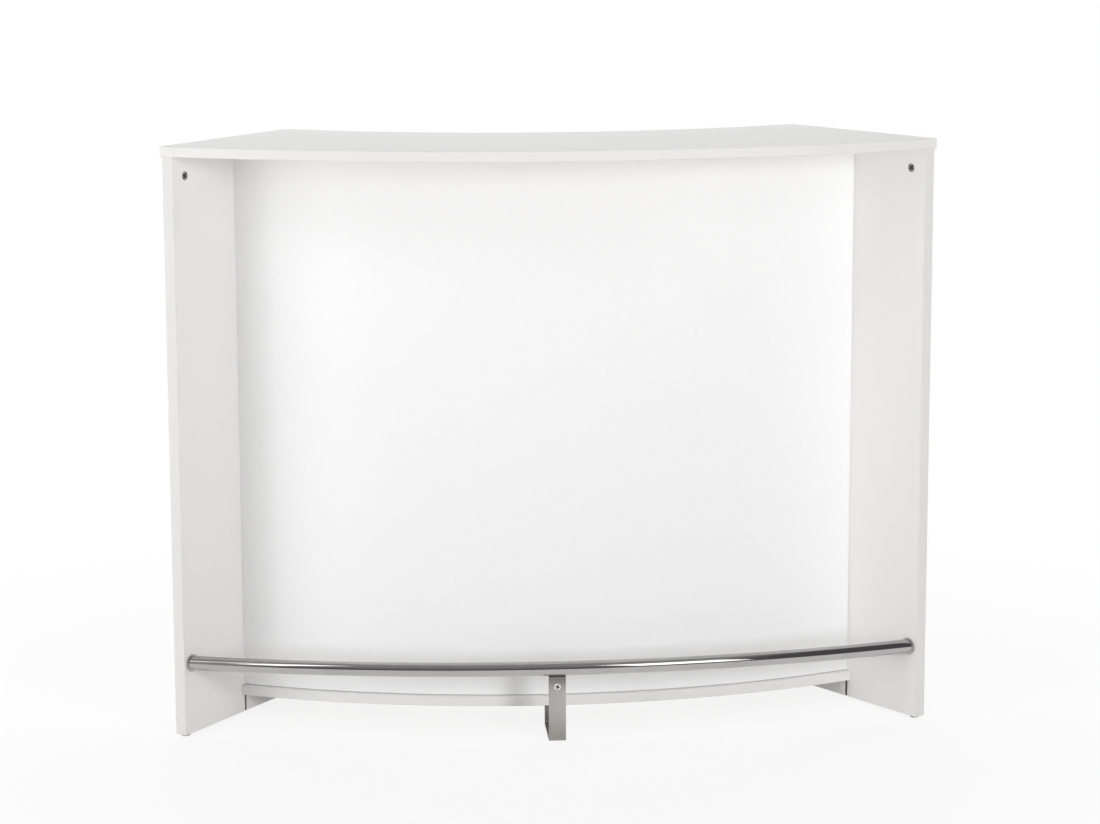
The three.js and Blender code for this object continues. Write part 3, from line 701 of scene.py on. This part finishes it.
def add_boards():
    softened("counter_top", BOARD_ARRIS, glued=faces_front_or_rear)
    softened("bottom_board", BOARD_ARRIS, glued=faces_front_or_rear, banded=faces(REARWARD))
    softened(
        "centre_divider", BOARD_ARRIS, cut_axes=(SIDEWAYS["right"], REARWARD, UPWARD),
        banded=faces(REARWARD))
    softened("curved_front_panel", SHEET_ARRIS)
    softened("counter_top_front_band", BAND_ARRIS, glued=faces(REARWARD))
    softened("counter_top_rear_band", BAND_ARRIS, glued=faces(FORWARD))
    softened("bottom_board_front_band", BAND_ARRIS, glued=faces(REARWARD))
    for hand in HANDS:
        back_along = BACK_ALONG[hand]
        softened(
            f"{hand}_side_panel", BOARD_ARRIS, glued=faces(-back_along),
            cut_axes=(OUTWARD[hand], back_along, UPWARD), banded=faces(back_along))
        softened(f"{hand}_side_front_band", BAND_ARRIS, glued=faces(back_along))
        for level in LEVELS:
            softened(f"{hand}_{level}_shelf", BOARD_ARRIS, banded=faces(REARWARD))


# Foot rail and its support
def rail_line():
    """Centre of the rail's arc and its tube radius, from the CAD tube's box."""
    low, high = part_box("foot_rail_tube")
    radius = (high.z - low.z) / 2
    centre = Vector((0, low.y + radius + RAIL_RADIUS, low.z + radius))
    return centre, radius


def flange_face(hand):
    """The flange's middle, just off its inner face, where the tube ends."""
    centre, _ = rail_line()
    start, _, _ = axis_span(f"{hand}_rail_flange", -OUTWARD[hand])
    face = start - OUTWARD[hand] * (FLANGE_THICKNESS + FLANGE_GAP)
    return Vector((face.x, face.y, centre.z))


def rail_heading(hand):
    """The direction in which the rail leaves the flange."""
    centre, _ = rail_line()
    along = UPWARD.cross(flange_face(hand) - centre).normalized()
    return along if hand == "left" else -along


def slide_to(point, direction, on_plane, normal):
    return point + direction * ((on_plane - point).dot(normal) / direction.dot(normal))


def seat_on_flange(ring, angle, hand):
    """Slides the tube's end ring along the rail, onto the plane of its flange."""
    tangent = Vector((math.cos(angle), math.sin(angle), 0))
    face = flange_face(hand)
    for vertex in ring:
        vertex.co = slide_to(vertex.co, tangent, face, OUTWARD[hand])


def add_foot_rail():
    centre, radius = rail_line()
    end_angle = math.asin(flange_face("right").x / RAIL_RADIUS)
    bm = bmesh.new()
    outer = []
    inner = []
    for station in range(RAIL_STATIONS + 1):
        angle = end_angle * (2 * station / RAIL_STATIONS - 1)
        outward = Vector((math.sin(angle), -math.cos(angle), 0))
        middle = centre + outward * RAIL_RADIUS
        for rings, shell in ((outer, radius), (inner, radius - RAIL_WALL)):
            rings.append(add_ring(bm, middle, outward, UPWARD, shell, RAIL_SIDES))
    for rings in (outer, inner):
        seat_on_flange(rings[0], -end_angle, "left")
        seat_on_flange(rings[-1], end_angle, "right")
        for first, second in zip(rings, rings[1:]):
            join_rings(bm, first, second)
    for end in (0, -1):
        join_rings(bm, outer[end], inner[end])
    tube = link_mesh("foot_rail_tube_finished", bm)
    dress(tube, finish_of("foot_rail_tube"))
    stand_for(tube, "foot_rail_tube")


def add_rail_flange(hand):
    """A pressed disc on the side panel, with the spigot that the tube slides over."""
    node = f"{hand}_rail_flange"
    inward = -OUTWARD[hand]
    _, _, radius = axis_span(node, inward)
    start = flange_face(hand) - inward * (FLANGE_THICKNESS + FLANGE_GAP)
    back = radius - FLANGE_UNDERCUT
    disc = turned(f"{node}_finished", round_corners(
        [(0, 0), (back, 0), (back, FLANGE_LIFT), (radius, FLANGE_LIFT), (radius, FLANGE_THICKNESS),
         (0, FLANGE_THICKNESS)], FLANGE_ROUND), start, inward)
    spigot = turned("spigot", round_corners(
        [(0, 0), (SPIGOT_RADIUS, 0), (SPIGOT_RADIUS, SPIGOT_LENGTH), (0, SPIGOT_LENGTH)], SPIGOT_ROUND),
        start + inward * (FLANGE_THICKNESS / 2), rail_heading(hand))
    flange = combine(disc, spigot, "UNION")
    dress(flange, PRESSED_CHROME)
    stand_for(flange, node)


def add_screw(node, axis, head_height, shank_radius, along):
    """A pan-head screw with a cross recess."""
    start, length, radius = axis_span(node, axis)
    dome_height = head_height * SCREW_DOME_SHARE
    profile = domed(radius, dome_height) + round_corners(
        [(radius, dome_height), (radius, head_height), (shank_radius, head_height),
         (shank_radius, length), (0, length)], SCREW_ROUND)
    screw = turned(f"{node}_finished", profile, start, axis)
    dress(screw, finish_of(node), PAINTED_RECESS_SHADE)
    turn = Matrix.Rotation(SCREW_CROSS_TURN, 3, axis)
    carve_cross(
        screw, start, axis, turn @ along, radius * SCREW_CROSS_LENGTH, radius * SCREW_CROSS_WIDTH,
        head_height * SCREW_CROSS_DEPTH)
    stand_for(screw, node)


def add_rail_support():
    softened("rail_support_strap", STRAP_ARRIS)
    softened("rail_support_tab", STRAP_ARRIS)
    softened("rail_support_nut", NUT_ARRIS)
    add_screw("rail_support_screw", REARWARD, SCREW_HEAD_HEIGHT, SCREW_SHANK_RADIUS, UPWARD)
    for hand in HANDS:
        add_screw(
            f"{hand}_strap_board_screw", UPWARD, BOARD_SCREW_HEAD_HEIGHT, BOARD_SCREW_SHANK_RADIUS,
            SIDEWAYS[hand])


# Cam locks, pins and glides
def add_cam(node, axis, along):
    """A cam lock with a dished face and a cross recess."""
    start, length, radius = axis_span(node, axis)
    dish = radius * CAM_DISH_SHARE
    profile = round_corners(
        [(0, CAM_DISH_DEPTH), (dish, CAM_DISH_DEPTH), (dish, 0), (radius, 0), (radius, length),
         (0, length)], CAM_ROUND)
    cam = turned(f"{node}_finished", profile, start, axis)
    dress(cam, finish_of(node), PAINTED_RECESS_SHADE)
    turn = Matrix.Rotation(CAM_CROSS_TURN, 3, axis)
    carve_cross(
        cam, start, axis, turn @ along, radius * CAM_CROSS_LENGTH, radius * CAM_CROSS_WIDTH,
        length * CAM_CROSS_DEPTH)
    stand_for(cam, node)


def add_pin(node, into):
    """A shelf pin with a collar at the bore's mouth."""
    start, length, collar_radius = axis_span(node, into)
    profile = round_corners(
        [(0, 0), (PIN_RADIUS, 0), (PIN_RADIUS, PIN_REACH), (collar_radius, PIN_REACH),
         (collar_radius, PIN_REACH + PIN_COLLAR), (PIN_RADIUS, PIN_REACH + PIN_COLLAR),
         (PIN_RADIUS, length), (0, length)], PIN_ROUND)
    pin = turned(f"{node}_finished", profile, start, into)
    dress(pin, finish_of(node))
    stand_for(pin, node)


def add_glide(node):
    """A round foot with a stem in the side panel."""
    start, length, radius = axis_span(node, UPWARD)
    profile = round_corners(
        [(0, 0), (radius, 0), (radius, GLIDE_HEIGHT), (GLIDE_STEM_RADIUS, GLIDE_HEIGHT),
         (GLIDE_STEM_RADIUS, length), (0, length)], GLIDE_ROUND)
    glide = turned(f"{node}_finished", profile, start, UPWARD)
    dress(glide, finish_of(node))
    stand_for(glide, node)


def add_fittings():
    for hand in HANDS:
        add_rail_flange(hand)
        for end in ENDS:
            add_glide(f"{hand}_{end}_glide")
            add_cam(f"{hand}_{end}_top_cam", OUTWARD[hand], UPWARD)
            add_cam(f"{hand}_{end}_bottom_cam", UPWARD, OUTWARD[hand])
            for place in ("top", "bottom"):
                NODES[f"{hand}_{end}_{place}_cam_bolt"].data.materials[0] = FINISHES["zinc"]
            for level in LEVELS:
                add_pin(f"{hand}_{level}_{end}_side_pin", OUTWARD[hand])
                add_pin(f"{hand}_{level}_{end}_divider_pin", -SIDEWAYS[hand])


# Stage, lights and camera
def white_share(tree):
    """How much of the floor's plain white shows: less near the object, where its shadow lies."""
    place = tree.nodes.new("ShaderNodeTexCoord")
    distance = tree.nodes.new("ShaderNodeVectorMath")
    distance.operation = "LENGTH"
    tree.links.new(place.outputs["Object"], distance.inputs[0])
    share = link_fade(tree, distance.outputs["Value"], SHADOW_FADE_START, SHADOW_FADE_END)
    share.node.inputs["To Min"].default_value = 1 - FLOOR_SHADOW_SHARE
    return share


def floor_finish():
    """Pale floor that shows white away from the object, and the object's shadow near it."""
    material, tree, shader = new_finish("pale_floor")
    shader.inputs["Roughness"].default_value = FLOOR_ROUGHNESS
    shader.inputs["Specular IOR Level"].default_value = FLOOR_SPECULAR
    seen = seen_by(tree, "Is Camera Ray", "Is Glossy Ray", "Is Transmission Ray")
    tone = link_mix(tree, seen, FLOOR_BOUNCE_TONE, FLOOR_SEEN_TONE)
    tree.links.new(tone, shader.inputs["Base Color"])
    white = tree.nodes.new("ShaderNodeEmission")
    white.inputs["Strength"].default_value = BACKDROP_WHITE
    share = link_math(tree, "MULTIPLY", white_share(tree), seen)
    blend = link_blend(tree, share, shader.outputs["BSDF"], white.outputs["Emission"])
    tree.links.new(blend, tree.nodes["Material Output"].inputs["Surface"])
    return material


def add_floor():
    half = FLOOR_HALF
    bm = bmesh.new()
    corners = [(-half, -half, 0), (half, -half, 0), (half, half, 0), (-half, half, 0)]
    bm.faces.new([bm.verts.new(corner) for corner in corners])
    floor = link_mesh("floor", bm)
    dress(floor, floor_finish())


def mirrored_studio(tree):
    """What a reflection sees: the unlit studio in front, its walls, and the white backdrop behind."""
    along = axis_values(tree, "Generated")
    upward = link_fade(tree, along["Z"], 0, 1)
    view = link_mix(tree, upward, UNLIT_LOW_TONE, UNLIT_HIGH_TONE)
    for axis, stretch, tone in (
            ("X", PALE_WALL_X, PALE_WALL_TONE),
            ("X", DARK_WALL_X, DARK_WALL_TONE),
            ("Y", BACKDROP_Y, WHITE)):
        view = link_mix(tree, link_fade(tree, along[axis], *stretch), view, tone)
    return view


def sky(tree, strength):
    """A plain white background."""
    background = tree.nodes.new("ShaderNodeBackground")
    background.inputs["Color"].default_value = WHITE
    background.inputs["Strength"].default_value = strength
    return background


def add_world():
    """Even light all round, white behind the object, and a studio for its metal to mirror."""
    world = bpy.data.worlds.new("studio")
    world.use_nodes = True
    bpy.context.scene.world = world
    tree = world.node_tree
    tree.nodes.remove(tree.nodes["Background"])
    ambient = sky(tree, AMBIENT).outputs["Background"]
    studio = sky(tree, BACKDROP_WHITE)
    tree.links.new(mirrored_studio(tree), studio.inputs["Color"])
    backdrop = sky(tree, BACKDROP_WHITE).outputs["Background"]
    surface = link_blend(tree, seen_by(tree, "Is Glossy Ray"), ambient, studio.outputs["Background"])
    seen = seen_by(tree, "Is Camera Ray", "Is Transmission Ray")
    surface = link_blend(tree, seen, surface, backdrop)
    tree.links.new(surface, tree.nodes["World Output"].inputs["Surface"])


def add_soft_box(name, place, width, height, power, mirrored):
    lamp = bpy.data.lights.new(name, "AREA")
    lamp.shape = "RECTANGLE"
    lamp.size = width
    lamp.size_y = height
    lamp.energy = power
    box = bpy.data.objects.new(name, lamp)
    box.location = place
    box.rotation_euler = (LIGHT_AIM - Vector(place)).to_track_quat("-Z", "Y").to_euler()
    box.visible_camera = False
    box.visible_glossy = mirrored
    bpy.context.scene.collection.objects.link(box)


def add_camera():
    look = Vector((
        math.sin(CAMERA_YAW) * math.cos(CAMERA_PITCH),
        math.cos(CAMERA_YAW) * math.cos(CAMERA_PITCH),
        -math.sin(CAMERA_PITCH)))
    level = Vector((math.cos(CAMERA_YAW), -math.sin(CAMERA_YAW), 0))
    down = look.cross(level)
    right = level * math.cos(CAMERA_ROLL) + down * math.sin(CAMERA_ROLL)
    up = level * math.sin(CAMERA_ROLL) - down * math.cos(CAMERA_ROLL)
    lens = bpy.data.cameras.new("camera")
    lens.lens = CAMERA_LENS
    lens.sensor_width = CAMERA_SENSOR
    lens.shift_y = CAMERA_SHIFT_Y
    camera = bpy.data.objects.new("camera", lens)
    turn = Matrix((right, up, -look)).transposed().to_4x4()
    camera.matrix_world = Matrix.Translation(CAMERA_PLACE) @ turn
    bpy.context.scene.collection.objects.link(camera)
    bpy.context.scene.camera = camera


add_boards()
add_foot_rail()
add_rail_support()
add_fittings()
add_floor()
add_world()
for soft_box in KEY_BOXES:
    add_soft_box(*soft_box, mirrored=True)
for soft_box in FILL_BOXES:
    add_soft_box(*soft_box, mirrored=False)
add_camera()
bpy.context.scene.view_settings.view_transform = "Standard"
